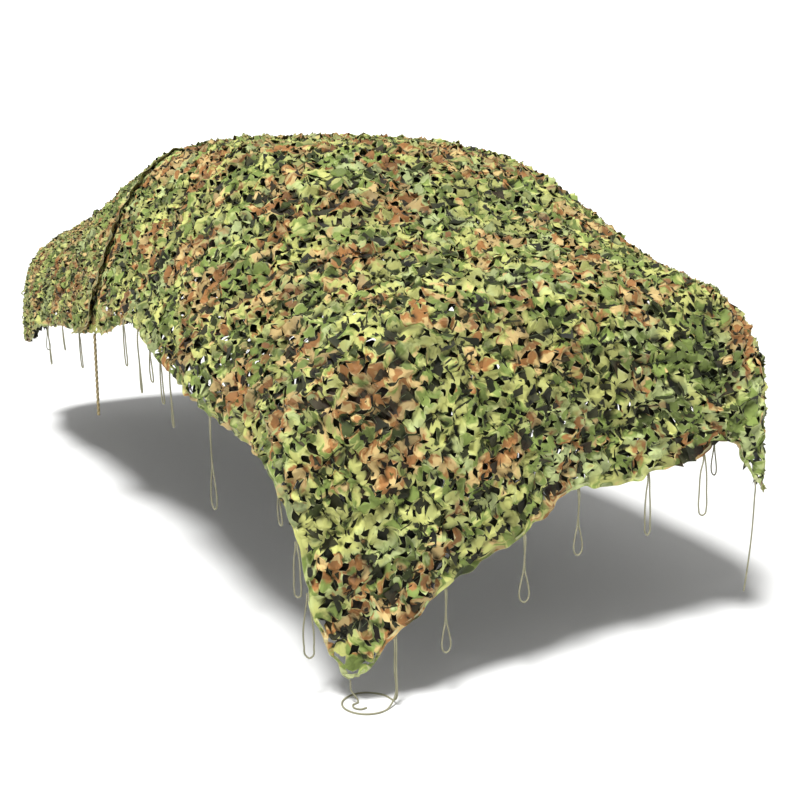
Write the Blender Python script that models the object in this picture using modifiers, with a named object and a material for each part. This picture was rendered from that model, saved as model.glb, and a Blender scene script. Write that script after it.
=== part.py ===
"""Camouflage net cover, hanging hollow in the long, stepped shape that it is fitted over.

Two lapped net panels with plain hems, a twisted cord at the lap and cord ties along the hems.
Frame: metres, +X to the right, +Y forward, +Z up, origin where the net bears on what holds it up.
Heights in the tables are above the ground, and TOP_HEIGHT takes them to the frame.
"""
import math
from collections import namedtuple

import bmesh
import bpy
import numpy as np
from mathutils import Vector

COLLECTION = "camouflage_net"

# Driving dimensions
TOP_HEIGHT = 1.555        # ground to the underside of the net at its top
NET_THICKNESS = 0.0025    # printed cloth, base mesh and the lie of the cut leaves
LAP_GAP = 0.0005          # between the two panels where they lap
LAP_DEPTH = 0.42          # how far the main net runs on under the front panel
CORD = 0.004              # tie cord diameter
SEAT = 0.0006             # a tie's end to the hem that it hangs from
CORD_SIDES = 2            # bevel resolution of a tie: eight sides
COLUMNS = 34              # mesh columns from hem to hem
MAIN_ROWS = 34            # mesh rows of the main net up to the lap line
LAP_ROWS = 4              # mesh rows that both panels share in the lap
FRONT_ROWS = 20           # mesh rows of the front panel past the lap

# The form below the net, one row for each station along it.
# along: from the origin; top: height at the middle; rail: edge of the top; waist: widest line.
Station = namedtuple("Station", "along top rail_half rail_z waist_half waist_z")
STATIONS = [
    Station(-1.43, 1.190, 0.57, 1.135, 0.855, 0.90),
    Station(-1.10, 1.300, 0.57, 1.250, 0.875, 0.95),
    Station(-0.80, 1.460, 0.57, 1.405, 0.890, 0.99),
    Station(-0.45, 1.540, 0.57, 1.485, 0.900, 1.00),
    Station(0.00, 1.5575, 0.57, 1.505, 0.900, 0.99),
    Station(0.45, 1.550, 0.57, 1.495, 0.900, 0.98),
    Station(0.80, 1.490, 0.58, 1.440, 0.900, 0.97),
    Station(1.20, 1.330, 0.60, 1.285, 0.900, 0.97),
    Station(1.55, 1.215, 0.62, 1.180, 0.890, 0.96),
    Station(1.95, 1.145, 0.60, 1.120, 0.860, 0.95),
    Station(2.30, 1.070, 0.53, 1.050, 0.785, 0.92),
]
# Drop over each end of the form, outwards and down from the last station.
DropPoint = namedtuple("DropPoint", "out down")
REAR_DROP = [DropPoint(0.0, 0.0), DropPoint(0.22, 0.05), DropPoint(0.33, 0.20),
             DropPoint(0.345, 0.60), DropPoint(0.35, 1.40)]
FRONT_DROP = [DropPoint(0.0, 0.0), DropPoint(0.16, 0.04), DropPoint(0.24, 0.18),
              DropPoint(0.26, 0.45), DropPoint(0.26, 1.20)]
END_CORE = 0.45           # half of the middle strip that goes straight over an end
CORNER_POWER = 2.6        # roundness of the form's corners seen from above, 2 is an ellipse
SKIRT_FLARE = 0.012       # how far the side leans out below the waist
CORNER_CUTS = 3           # smoothing passes over a section's control points

# Cut edges, measured over the cloth. across: from the middle, along: as the stations, and past the
# end stations the distance over the drop.
Edge = namedtuple("Edge", "at value")
LEFT_HEM = [
    Edge(-2.40, -1.38), Edge(-2.30, -1.40), Edge(-2.18, -1.43), Edge(-2.06, -1.43), Edge(-1.94, -1.37),
    Edge(-1.82, -1.27), Edge(-1.68, -1.19), Edge(-1.52, -1.17), Edge(-1.22, -1.20), Edge(-1.02, -1.25), Edge(-0.70, -1.33), Edge(-0.46, -1.32),
    Edge(-0.30, -1.24), Edge(-0.10, -1.25), Edge(0.10, -1.33), Edge(0.36, -1.36), Edge(0.60, -1.37),
    Edge(1.00, -1.31), Edge(1.40, -1.26), Edge(1.60, -1.27), Edge(1.80, -1.32), Edge(2.20, -1.26),
    Edge(2.70, -1.10),
]
RIGHT_HEM = [
    Edge(-2.20, 1.12), Edge(-1.90, 1.17), Edge(-1.43, 1.25), Edge(-0.90, 1.33), Edge(-0.30, 1.38),
    Edge(0.20, 1.34), Edge(0.80, 1.37), Edge(1.40, 1.31), Edge(2.00, 1.26), Edge(2.70, 1.12),
]
REAR_HEM = [
    Edge(-1.42, -2.31), Edge(-1.31, -2.37), Edge(-1.18, -2.43), Edge(-1.00, -2.44), Edge(-0.80, -2.46),
    Edge(-0.50, -2.45), Edge(-0.21, -2.36),
    Edge(-0.04, -2.27), Edge(0.14, -2.28), Edge(0.30, -2.24), Edge(0.50, -2.19), Edge(0.62, -2.13),
    Edge(0.80, -2.23), Edge(0.95, -2.16), Edge(1.15, -2.09),
]
LAP_LINE = [
    Edge(-1.40, 0.34), Edge(-1.20, 0.39), Edge(-1.05, 0.40), Edge(-0.87, 0.50), Edge(-0.60, 0.53),
    Edge(-0.20, 0.48), Edge(0.20, 0.52), Edge(0.60, 0.47), Edge(1.00, 0.50), Edge(1.40, 0.42),
]
FRONT_HEM = [
    Edge(-1.20, 2.72), Edge(-0.80, 2.78), Edge(-0.30, 2.80), Edge(0.20, 2.76), Edge(0.70, 2.80),
    Edge(1.25, 2.70),
]

# Main folds of the hanging cloth: a rounded ridge (or trough, where out is negative) at a place
# seen from above, that starts at a height and reaches its full depth over a drop.
Fold = namedtuple("Fold", "x y half_width start drop out")
FOLDS = [
    Fold(-0.86, -1.55, 0.13, 1.05, 0.55, 0.035),
    Fold(-0.55, -1.80, 0.12, 0.95, 0.45, 0.030),
    Fold(-0.74, -1.72, 0.10, 0.80, 0.45, -0.025),
    Fold(-0.22, -1.79, 0.14, 0.85, 0.30, 0.022),
    Fold(0.12, -1.79, 0.16, 0.90, 0.35, -0.020),
    Fold(0.60, -1.74, 0.085, 0.82, 0.28, 0.060),
    Fold(0.80, -1.60, 0.11, 0.90, 0.40, -0.020),
    Fold(-0.91, -1.00, 0.15, 1.05, 0.30, 0.024),
    Fold(-0.91, -0.62, 0.13, 1.05, 0.25, -0.018),
    Fold(-0.91, -0.30, 0.12, 1.05, 0.22, 0.026),
    Fold(-0.91, 0.15, 0.16, 1.05, 0.25, -0.016),
    Fold(-0.91, 0.55, 0.14, 1.05, 0.25, 0.024),
    Fold(-0.90, 1.05, 0.14, 1.05, 0.30, -0.014),
    Fold(-0.88, 1.50, 0.15, 1.00, 0.30, 0.022),
    Fold(-0.80, 2.05, 0.15, 0.95, 0.30, 0.020),
    Fold(-0.35, 2.55, 0.16, 0.90, 0.30, 0.020),
    Fold(0.25, 2.55, 0.16, 0.90, 0.30, -0.014),
    Fold(0.70, 2.30, 0.15, 0.90, 0.30, 0.022),
    Fold(0.91, 1.45, 0.16, 1.05, 0.30, 0.024),
    Fold(0.91, 0.85, 0.15, 1.05, 0.30, -0.016),
    Fold(0.91, 0.30, 0.15, 1.05, 0.30, 0.024),
    Fold(0.91, -0.35, 0.17, 1.05, 0.30, -0.016),
    Fold(0.91, -0.95, 0.15, 1.05, 0.30, 0.026),
]
# Slack and the lumps of loose cloth on top, as soft waves.
Wave = namedtuple("Wave", "along_pitch across_pitch phase height")
WAVES = [Wave(0.83, 1.30, 0.4, 0.006), Wave(0.47, -0.74, 1.9, 0.005), Wave(-0.31, 0.39, 3.1, 0.003)]

# Ties: doubled cords that hang in a loop from a hem, or one cord with a free end.
# at: where on the hem, across for a rear or front hem and along for a side hem;
# eye: widest gap between the legs.
Tie = namedtuple("Tie", "name hem at length eye shape")
TIES = [
    Tie("tie_rear_1", "rear", -0.55, 0.190, 0.030, "drop"),
    Tie("tie_rear_2", "rear", -0.23, 0.200, 0.032, "drop"),
    Tie("tie_rear_3", "rear", -0.03, 0.200, 0.034, "drop"),
    Tie("tie_rear_4", "rear", 0.23, 0.185, 0.020, "lens"),
    Tie("tie_rear_5", "rear", 0.45, 0.185, 0.028, "long"),
    Tie("tie_rear_6", "rear", 0.81, 0.350, 0.0, "free"),
    Tie("tie_left_1", "left", -1.94, 0.180, 0.030, "lens"),
    Tie("tie_left_2", "left", -1.82, 0.150, 0.020, "long"),
    Tie("tie_left_3", "left", -1.66, 0.090, 0.020, "lens"),
    Tie("tie_left_4", "left", -1.04, 0.300, 0.036, "drop"),
    Tie("tie_left_5", "left", -0.60, 0.200, 0.022, "drop"),
    Tie("tie_left_6", "left", -0.52, 0.150, 0.020, "long"),
    Tie("tie_left_7", "left", -0.45, 0.100, 0.020, "lens"),
    Tie("tie_left_8", "left", -0.34, 0.220, 0.024, "drop"),
    Tie("tie_left_9", "left", -0.06, 0.170, 0.020, "long"),
    Tie("tie_right_1", "right", -1.35, 0.210, 0.026, "drop"),
    Tie("tie_right_2", "right", -0.85, 0.200, 0.022, "lens"),
    Tie("tie_right_3", "right", -0.35, 0.220, 0.026, "drop"),
    Tie("tie_right_4", "right", 0.15, 0.200, 0.022, "long"),
    Tie("tie_front_left_1", "front_left", 0.52, 0.150, 0.020, "long"),
    Tie("tie_front_left_2", "front_left", 0.94, 0.110, 0.020, "lens"),
    Tie("tie_front_left_3", "front_left", 1.28, 0.185, 0.022, "drop"),
    Tie("tie_front_right_1", "front_right", 0.80, 0.200, 0.024, "drop"),
    Tie("tie_front_right_2", "front_right", 1.60, 0.200, 0.022, "lens"),
    Tie("tie_front_1", "front", -0.90, 0.190, 0.024, "drop"),
    Tie("tie_front_2", "front", 0.00, 0.200, 0.022, "lens"),
    Tie("tie_front_3", "front", 0.90, 0.195, 0.026, "drop"),
]
# One leg of a tie, from its hem to the foot of its loop: drop as a share of the tie's length,
# spread as a share of half its eye.
LegPoint = namedtuple("LegPoint", "drop spread")
TIE_LEGS = {
    "drop": [LegPoint(0.0, 0.0), LegPoint(0.55, 0.05), LegPoint(0.76, 0.80), LegPoint(0.89, 1.0),
             LegPoint(0.97, 0.60)],
    "lens": [LegPoint(0.0, 0.0), LegPoint(0.28, 0.55), LegPoint(0.55, 1.0), LegPoint(0.80, 0.95),
             LegPoint(0.96, 0.62)],
    "long": [LegPoint(0.0, 0.0), LegPoint(0.25, 0.70), LegPoint(0.60, 0.95), LegPoint(0.88, 1.0),
             LegPoint(0.97, 0.66)],
}
LEG_APART = 0.0026        # half the distance between a tie's two legs at the hem
SWAY = 0.006              # how far a hanging tie strays from plumb at its foot
FREE_STEPS = 8            # straight stretches of the tie with a free end
FREE_BOW = 0.007          # how far that tie bows to one side
FREE_LEAN = 0.020         # and how far it leans to the other

# The two ties at the lowest corner reach the ground. Points on the ground are seen from above.
FloorPoint = namedtuple("FloorPoint", "x y")
CORNER_TIE_AT = -1.01
CORNER_LOOP = [
    FloorPoint(-0.667, -1.790), FloorPoint(-0.700, -1.799), FloorPoint(-0.735, -1.789),
    FloorPoint(-0.761, -1.762), FloorPoint(-0.770, -1.725), FloorPoint(-0.757, -1.690),
    FloorPoint(-0.725, -1.668), FloorPoint(-0.687, -1.665), FloorPoint(-0.655, -1.683),
    FloorPoint(-0.634, -1.712), FloorPoint(-0.628, -1.745),
]
TIP_TAIL = [
    FloorPoint(-0.722, -1.716), FloorPoint(-0.739, -1.722), FloorPoint(-0.745, -1.740),
    FloorPoint(-0.733, -1.757), FloorPoint(-0.714, -1.756),
]
FOOT_LIFT = 0.022         # height at which a tie's leg begins to turn onto the ground

# The thick twisted cord at the rear corner of the front panel.
ROPE_LENGTH = 0.34
ROPE_RADIUS = 0.0065
ROPE_STRANDS = 3
ROPE_TURNS = 5.0
ROPE_GROOVE = 0.34        # depth of the grooves between its strands, as a share of the radius
ROPE_SIDES = 12
ROPE_STEPS = 40

NET_GREEN = (0.230, 0.330, 0.110)
PANEL_GREEN = (0.300, 0.360, 0.120)
CORD_KHAKI = (0.430, 0.400, 0.230)
CLOTH_ROUGHNESS = 0.62
CORD_ROUGHNESS = 0.85


def clear_scene():
    """Remove every object that the file holds."""
    for thing in list(bpy.data.objects):
        bpy.data.objects.remove(thing, do_unlink=True)


def new_collection(name):
    """A collection of that name, linked to the scene."""
    group = bpy.data.collections.new(name)
    bpy.context.scene.collection.children.link(group)
    return group


def principled(name, colour, roughness):
    """A plain Principled material."""
    material = bpy.data.materials.new(name)
    material.use_nodes = True
    shader = material.node_tree.nodes["Principled BSDF"]
    shader.inputs["Base Color"].default_value = (*colour, 1.0)
    shader.inputs["Roughness"].default_value = roughness
    shader.inputs["Metallic"].default_value = 0.0
    return material


def eased(x, xs, ys):
    """Value at x on a smooth curve through a table's rows, held flat past its ends."""
    xs = np.asarray(xs, float)
    ys = np.asarray(ys, float)
    step = np.diff(xs)
    rise = np.diff(ys) / step
    slope = np.concatenate([rise[:1], np.zeros(len(rise) - 1), rise[-1:]])
    for i in range(1, len(rise)):
        if rise[i - 1] * rise[i] > 0:
            slope[i] = 2 * rise[i - 1] * rise[i] / (rise[i - 1] + rise[i])
    x = min(max(x, xs[0]), xs[-1])
    i = min(max(int(np.searchsorted(xs, x)) - 1, 0), len(step) - 1)
    t = (x - xs[i]) / step[i]
    a = ys[i] * (1 + 2 * t) * (1 - t) ** 2 + ys[i + 1] * t * t * (3 - 2 * t)
    return a + step[i] * t * (1 - t) * (slope[i] * (1 - t) - slope[i + 1] * t)


def table_curve(rows):
    """A hem or lap table as a function of its first column."""
    at = [row.at for row in rows]
    value = [row.value for row in rows]
    return lambda x: eased(x, at, value)


def rounded(points):
    """Cut the corners of a polyline a few times, keeping its ends."""
    line = np.asarray(points, float)
    for _ in range(CORNER_CUTS):
        start = line[:-1]
        end = line[1:]
        cut = np.empty((2 * len(start), 2))
        cut[0::2] = 0.75 * start + 0.25 * end
        cut[1::2] = 0.25 * start + 0.75 * end
        line = np.vstack([line[:1], cut, line[-1:]])
    return line


def walk(line, distance):
    """The point of a polyline at a distance along it."""
    lengths = np.hypot(*(line[1:] - line[:-1]).T)
    reach = np.concatenate([[0.0], np.cumsum(lengths)])
    return float(np.interp(distance, reach, line[:, 0])), float(np.interp(distance, reach, line[:, 1]))


def section(along):
    """Half cross-section of the form at a station, from its middle to below the ground."""
    at = [row.along for row in STATIONS]
    top, rail_half, rail_z, waist_half, waist_z = (
        eased(along, at, [getattr(row, column) for row in STATIONS])
        for column in ("top", "rail_half", "rail_z", "waist_half", "waist_z")
    )
    return rounded([
        (0.0, top),
        (0.55 * rail_half, top - 0.15 * (top - rail_z)),
        (rail_half, rail_z),
        (waist_half, waist_z),
        (waist_half + SKIRT_FLARE, waist_z - 0.35),
        (waist_half + 1.6 * SKIRT_FLARE, -0.30),
    ])


def smoothstep(t):
    """Ease from 0 to 1."""
    t = min(max(t, 0.0), 1.0)
    return t * t * (3 - 2 * t)


def fold_depth(place):
    """How far the folds push the cloth outwards at a place on the form."""
    depth = 0.0
    for fold in FOLDS:
        away = math.hypot(place.x - fold.x, place.y - fold.y) / fold.half_width
        if away < 2.5:
            depth += fold.out * math.exp(-away * away) * smoothstep((fold.start - place.z) / fold.drop)
    return depth


def wave_height(across, along):
    """Soft unevenness of the loose cloth."""
    return sum(
        wave.height * math.sin(math.tau * (along / wave.along_pitch + across / wave.across_pitch) + wave.phase)
        for wave in WAVES
    )


def over_end(across, past, edge, drop, heading):
    """Place and outward direction where the cloth goes over an end of the form."""
    side = section(edge)
    rim = rounded([(point.out, -point.down) for point in drop])
    reach = abs(across)
    hand = math.copysign(1.0, across)
    if reach <= END_CORE:
        x, z = walk(side, reach)
        out, down = walk(rim, past)
        return Vector((hand * x, edge + heading * out, z + down)), Vector((0.0, heading, 0.0))
    core_x, core_z = walk(side, END_CORE)
    distance = math.hypot(reach - END_CORE, past)
    turn = math.atan2(past, reach - END_CORE)
    side_x, side_z = walk(side, END_CORE + distance)
    out, down = walk(rim, distance)
    cosine = math.cos(turn)
    sine = math.sin(turn)
    radius = (
        (cosine / max(side_x - core_x, 1e-6)) ** CORNER_POWER + (sine / max(out, 1e-6)) ** CORNER_POWER
    ) ** (-1.0 / CORNER_POWER)
    z = side_z * cosine * cosine + (core_z + down) * sine * sine
    place = Vector((hand * (core_x + radius * cosine), edge + heading * radius * sine, z))
    return place, Vector((hand * cosine, heading * sine, 0.0))


def drape(across, along):
    """Point of the hanging cloth for a place on it, in the frame."""
    first = STATIONS[0].along
    last = STATIONS[-1].along
    if along < first:
        place, outward = over_end(across, first - along, first, REAR_DROP, -1.0)
    elif along > last:
        place, outward = over_end(across, along - last, last, FRONT_DROP, 1.0)
    else:
        x, z = walk(section(along), abs(across))
        hand = math.copysign(1.0, across)
        place = Vector((hand * x, along, z))
        outward = Vector((hand, 0.0, 0.0))
    steep = smoothstep((TOP_HEIGHT - place.z) / 0.6) if along >= first else 1.0
    direction = outward * steep + Vector((0.0, 0.0, 1.0 - steep))
    place += outward * fold_depth(place)
    place += direction * wave_height(across, along)
    place.z -= TOP_HEIGHT
    return place


LEFT = table_curve(LEFT_HEM)
RIGHT = table_curve(RIGHT_HEM)
REAR = table_curve(REAR_HEM)
LAP = table_curve(LAP_LINE)
FRONT = table_curve(FRONT_HEM)


def main_front(across):
    """The main net's own front edge, under the front panel."""
    return LAP(across) + LAP_DEPTH


def cloth_place(u, start, end, share):
    """Across and along for a column (u from 0, left hem, to 1, right hem) and a row between two lines."""
    across = 0.0
    along = 0.0
    for _ in range(12):
        along = (1 - share) * start(across) + share * end(across)
        across = (1 - u) * LEFT(along) + u * RIGHT(along)
    return across, along


def row_lines(spans):
    """Rows of a panel, each as its start line, end line and share, for (start, end, count) spans."""
    rows = []
    for start, end, count in spans:
        rows += [(start, end, i / count) for i in range(count)]
    rows.append((spans[-1][0], spans[-1][1], 1.0))
    return rows


MAIN_SPANS = [(REAR, LAP, MAIN_ROWS), (LAP, main_front, LAP_ROWS)]
FRONT_SPANS = [(LAP, main_front, LAP_ROWS), (main_front, FRONT, FRONT_ROWS)]


def cloth_mesh(name, spans, lift):
    """The open sheet of one panel, its grid moved onto the drape and lifted off it."""
    rows = row_lines(spans)
    bm = bmesh.new()
    bmesh.ops.create_grid(bm, x_segments=COLUMNS, y_segments=len(rows) - 1, size=0.5)
    for vert in bm.verts:
        row = rows[round((vert.co.y + 0.5) * (len(rows) - 1))]
        vert.co = drape(*cloth_place(vert.co.x + 0.5, *row))
    bm.normal_update()
    normals = {vert: vert.normal.copy() for vert in bm.verts}
    for vert, normal in normals.items():
        vert.co += normal * lift
    mesh = bpy.data.meshes.new(name)
    bm.to_mesh(mesh)
    bm.free()
    mesh.shade_smooth()
    return mesh


def add_panel(group, name, spans, lift, side, colour):
    """One net panel: its sheet with a fixed diagonal in each face, and its thickness to one side."""
    panel = bpy.data.objects.new(name, cloth_mesh(name, spans, lift))
    group.objects.link(panel)
    split = panel.modifiers.new("split", "TRIANGULATE")
    split.quad_method = "FIXED"
    wall = panel.modifiers.new("thickness", "SOLIDIFY")
    wall.thickness = NET_THICKNESS
    wall.offset = side
    wall.use_even_offset = True
    panel.data.materials.append(principled(name, colour, CLOTH_ROUGHNESS))
    return panel


def hem_line(hem):
    """Places along a hem, at the mesh's own steps, and the lift of its panel."""
    main = row_lines(MAIN_SPANS)
    front = row_lines(FRONT_SPANS)
    lift = LAP_GAP + NET_THICKNESS
    if hem == "rear":
        return [cloth_place(i / COLUMNS, *main[0]) for i in range(COLUMNS + 1)], 0.0
    if hem == "front":
        return [cloth_place(i / COLUMNS, *front[-1]) for i in range(COLUMNS + 1)], lift
    if hem in ("left", "right"):
        side = 0.0 if hem == "left" else 1.0
        return [cloth_place(side, *row) for row in main[:MAIN_ROWS + 1]], 0.0
    side = 0.0 if hem == "front_left" else 1.0
    return [cloth_place(side, *row) for row in front], lift


def cloth_normal(across, along):
    """Outward normal of the drape."""
    step = 0.01
    over = drape(across + step, along) - drape(across - step, along)
    ahead = drape(across, along + step) - drape(across, along - step)
    return over.cross(ahead).normalized()


def hem_seat(hem, at, reach):
    """Where a cord of that reach to each side meets a hem from below: its top, and the hem's level way."""
    places, lift = hem_line(hem)
    column = 0 if hem in ("rear", "front") else 1
    gaps = list(zip(places, places[1:]))
    before, after = min(gaps, key=lambda gap: abs((gap[0][column] + gap[1][column]) / 2 - at))
    run = drape(*after) - drape(*before)
    level = Vector((run.x, run.y, 0.0))
    margin = reach / level.length
    share = (at - before[column]) / (after[column] - before[column])
    share = min(max(share, margin), 1.0 - margin)
    normal = cloth_normal(*before).lerp(cloth_normal(*after), share)
    here = drape(*before).lerp(drape(*after), share) + normal * (lift - NET_THICKNESS / 2)
    fall = abs(run.z) / level.length
    low = here.z - NET_THICKNESS / 2 * abs(normal.z) - reach * fall - SEAT * math.hypot(1.0, fall)
    return Vector((here.x, here.y, low)), level.normalized()


def tube(group, name, points, material, radius=CORD / 2):
    """A cord as a round tube along its points, with closed ends."""
    curve = bpy.data.curves.new(name, "CURVE")
    curve.dimensions = "3D"
    curve.bevel_depth = radius
    curve.bevel_resolution = CORD_SIDES
    curve.use_fill_caps = True
    line = curve.splines.new("POLY")
    line.points.add(len(points) - 1)
    for spot, point in zip(line.points, points):
        spot.co = (*point, 1.0)
    cord = bpy.data.objects.new(name, curve)
    group.objects.link(cord)
    curve.materials.append(material)
    return cord


def tie_route(tie):
    """Points of a hanging tie: down one leg, round its foot and up the other, or one cord down."""
    if tie.shape == "free":
        top, level = hem_seat(tie.hem, tie.at, CORD / 2)
        shares = [i / FREE_STEPS for i in range(FREE_STEPS + 1)]
        return [
            top + level * (FREE_BOW * math.sin(math.pi * share) - FREE_LEAN * share)
            - Vector((0.0, 0.0, tie.length * share))
            for share in shares
        ]
    top, level = hem_seat(tie.hem, tie.at, LEG_APART + CORD / 2)
    half_eye = tie.eye / 2
    leg = [
        (LEG_APART + point.spread * (half_eye - LEG_APART), point.drop * tie.length)
        for point in TIE_LEGS[tie.shape]
    ]
    outline = [(-side, down) for side, down in leg] + [(0.0, tie.length)]
    outline += [(side, down) for side, down in reversed(leg)]
    sway = level.cross(Vector((0.0, 0.0, 1.0)))
    return [
        top + level * side - Vector((0.0, 0.0, down)) + sway * (SWAY * (down / tie.length) ** 2)
        for side, down in outline
    ]


def on_ground(point):
    """A cord's middle where it lies on the ground."""
    return Vector((point.x, point.y, -TOP_HEIGHT + CORD / 2 + SEAT))


def corner_tie_route():
    """The tie beside the lowest corner: down, once round on the ground, and up again."""
    top, level = hem_seat("rear", CORNER_TIE_AT, LEG_APART + CORD / 2)
    ground = [on_ground(point) for point in CORNER_LOOP]
    near = top - level * LEG_APART
    far = top + level * LEG_APART
    turn_z = -TOP_HEIGHT + FOOT_LIFT
    down = [near, near.lerp(Vector((near.x, near.y, turn_z)), 0.5), Vector((near.x, near.y, turn_z))]
    up = [far, far.lerp(Vector((far.x, far.y, turn_z)), 0.5), Vector((far.x, far.y, turn_z))]
    return down + ground + up[::-1]


def tip_tie_route():
    """The short tie at the lowest corner, its free end lying on the ground."""
    top, _ = hem_seat("rear", REAR_HEM[0].at, CORD / 2)
    return [top, top - Vector((0.0, 0.0, 0.012))] + [on_ground(point) for point in TIP_TAIL]


def add_rope(group, material):
    """The twisted cord: a three-lobed outline, swept down and turned."""
    top, _ = hem_seat("front_left", LEFT(LAP(LEFT_HEM[-1].value)), ROPE_RADIUS)
    bm = bmesh.new()
    ring = bmesh.ops.create_circle(bm, segments=ROPE_SIDES, radius=ROPE_RADIUS)["verts"]
    for vert in ring:
        turn = math.atan2(vert.co.y, vert.co.x)
        vert.co *= 1 - ROPE_GROOVE * (0.5 - 0.5 * math.cos(ROPE_STRANDS * turn))
    bmesh.ops.spin(
        bm, geom=bm.verts[:] + bm.edges[:], cent=(0, 0, 0), axis=(0, 0, 1),
        dvec=(0, 0, -ROPE_LENGTH / ROPE_STEPS), angle=math.tau * ROPE_TURNS, steps=ROPE_STEPS,
        use_duplicate=False,
    )
    bmesh.ops.holes_fill(bm, edges=[edge for edge in bm.edges if edge.is_boundary], sides=0)
    bmesh.ops.recalc_face_normals(bm, faces=bm.faces[:])
    mesh = bpy.data.meshes.new("lap_cord")
    bm.to_mesh(mesh)
    bm.free()
    mesh.shade_smooth()
    mesh.materials.append(material)
    rope = bpy.data.objects.new("lap_cord", mesh)
    rope.location = top
    group.objects.link(rope)


def main():
    """Build the cover."""
    clear_scene()
    group = new_collection(COLLECTION)
    add_panel(group, "main_net", MAIN_SPANS, 0.0, -1.0, NET_GREEN)
    add_panel(group, "front_panel", FRONT_SPANS, LAP_GAP, 1.0, PANEL_GREEN)
    for tie in TIES:
        tube(group, tie.name, tie_route(tie), principled(tie.name, CORD_KHAKI, CORD_ROUGHNESS))
    tube(group, "tie_corner", corner_tie_route(), principled("tie_corner", CORD_KHAKI, CORD_ROUGHNESS))
    tube(group, "tie_tip", tip_tie_route(), principled("tie_tip", CORD_KHAKI, CORD_ROUGHNESS))
    add_rope(group, principled("lap_cord", CORD_KHAKI, CORD_ROUGHNESS))


if __name__ == "__main__":
    main()
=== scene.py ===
"""Looks of a camouflage net cover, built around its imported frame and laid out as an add-on.

Two lapped panels of leaf-cut printed cloth tied to a knotted base mesh, their plain hems, the ties
that hang from the hems, and a thick twisted cord at the lap. Metres, +Z up, in the part's own frame.
"""

import math

import bmesh
import bpy
import numpy as np
from bpy.props import FloatProperty, FloatVectorProperty, PointerProperty
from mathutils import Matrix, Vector
from mathutils.bvhtree import BVHTree


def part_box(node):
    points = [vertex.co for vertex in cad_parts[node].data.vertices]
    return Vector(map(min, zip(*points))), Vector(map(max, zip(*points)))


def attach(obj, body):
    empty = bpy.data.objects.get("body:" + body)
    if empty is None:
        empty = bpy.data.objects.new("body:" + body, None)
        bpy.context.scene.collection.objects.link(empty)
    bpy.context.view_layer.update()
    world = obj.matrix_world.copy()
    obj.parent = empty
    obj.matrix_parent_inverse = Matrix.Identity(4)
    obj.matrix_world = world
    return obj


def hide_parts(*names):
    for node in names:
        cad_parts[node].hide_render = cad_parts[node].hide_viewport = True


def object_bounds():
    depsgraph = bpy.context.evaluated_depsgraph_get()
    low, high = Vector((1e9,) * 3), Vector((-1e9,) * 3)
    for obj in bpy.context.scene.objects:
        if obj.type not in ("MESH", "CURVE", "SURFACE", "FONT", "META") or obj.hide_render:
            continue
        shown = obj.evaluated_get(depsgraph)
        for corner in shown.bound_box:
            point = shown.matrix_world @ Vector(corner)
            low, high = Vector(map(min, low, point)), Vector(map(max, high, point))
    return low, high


bl_info = {
    "name": "Camouflage Net Cover",
    "version": (1, 0, 0),
    "blender": (4, 5, 0),
    "location": "View3D > Sidebar > Net",
    "description": "Models a leaf-cut camouflage net cover with its hems, ties and base mesh",
    "category": "Object",
}

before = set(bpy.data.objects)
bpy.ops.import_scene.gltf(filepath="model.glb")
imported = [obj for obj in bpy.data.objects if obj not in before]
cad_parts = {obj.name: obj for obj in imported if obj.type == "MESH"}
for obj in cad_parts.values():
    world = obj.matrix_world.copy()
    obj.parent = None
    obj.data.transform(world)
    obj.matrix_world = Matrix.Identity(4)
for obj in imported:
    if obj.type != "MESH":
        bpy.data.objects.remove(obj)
CAD_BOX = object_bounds()

ROOT = "root"
GROUND_Z = -1.555
MERGE = 1e-5  # corners nearer than this are one corner

# Camera at the photograph's viewing angle
CAMERA_PLACE = (-2.065, -4.524, -0.048)
CAMERA_TILT = math.radians(78.30)
CAMERA_TURN = math.radians(-27.72)
SENSOR_WIDTH = 36.0
PHOTO_WIDTH = 800
FOCAL_PIXELS = 1204

# Stage: a pale round floor that bends up to a wall far off, one soft sun and a little light all round
FLOOR_REACH = 22.0
FLOOR_SIDES = 48
BEND_STEPS = 12
WALL_BEND = 6.0
WALL_RISE = 6.0
FILL = 0.30
KEY = 4.15
KEY_SPREAD = 14.0
KEY_FROM = (-1.9, -1.5, 6.0)
FLOOR_COLOUR = (0.86, 0.86, 0.85)
FLOOR_ROUGHNESS = 0.9

# Cut cloth: each cell of a panel is a grid of squares, some of them cut loose as flaps
GRID = 6
HANDS = 240  # cuts that differ a little in shape
PETALS = 4
HALF = 2  # reach of a cross cut to each side, in squares
CRUMPLE = 0.0014  # unevenness of the cloth from one mesh corner to the next
TILT = 1.15  # steepest tilt of the cloth where four cells meet, as a slope
STEEP = (0.35, 1.0)  # each such place's share of that tilt
HEM_LEAN = 0.12  # how much of the tilt is left at the hem
STRENGTH = (0.75, 1.2)  # each cell's share of its cut's height
HEM_STRENGTH = 0.15  # the same in the hem's uncut cells
HEM_CRUMPLE = 0.3  # and how much of the unevenness is left there
FIRM_STEPS = 2  # smoothing of the tilt from one mesh corner to the next
PLAIN_SHARE = 0.03  # cells without a cut
CREASE = math.radians(17)  # the cloth's edges are sharp past this fold
STRAY = 0.16  # how far cells' corners stray in the cloth, against their pitch
LAP_REACH = 0.035  # cloth this near to the other panel's skin lies under it
LAP_PRESS = 0.3  # how much of a leaf's height is left there, turned inwards, which darkens that strip with painted shade
FLARE = (0.030, 0.008)  # how far the front panel's rear hem stands off, at its edge and one row in
FLAT_FLARE = 0.8  # how much of that it loses where the cloth lies level
FLARE_LENGTH = 0.2  # the lap line's sway along the net
HEM_SHARE = 0.42  # how far the first row of corners is drawn towards the hem
SECOND_SHARE = 0.16  # and the second row
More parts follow.
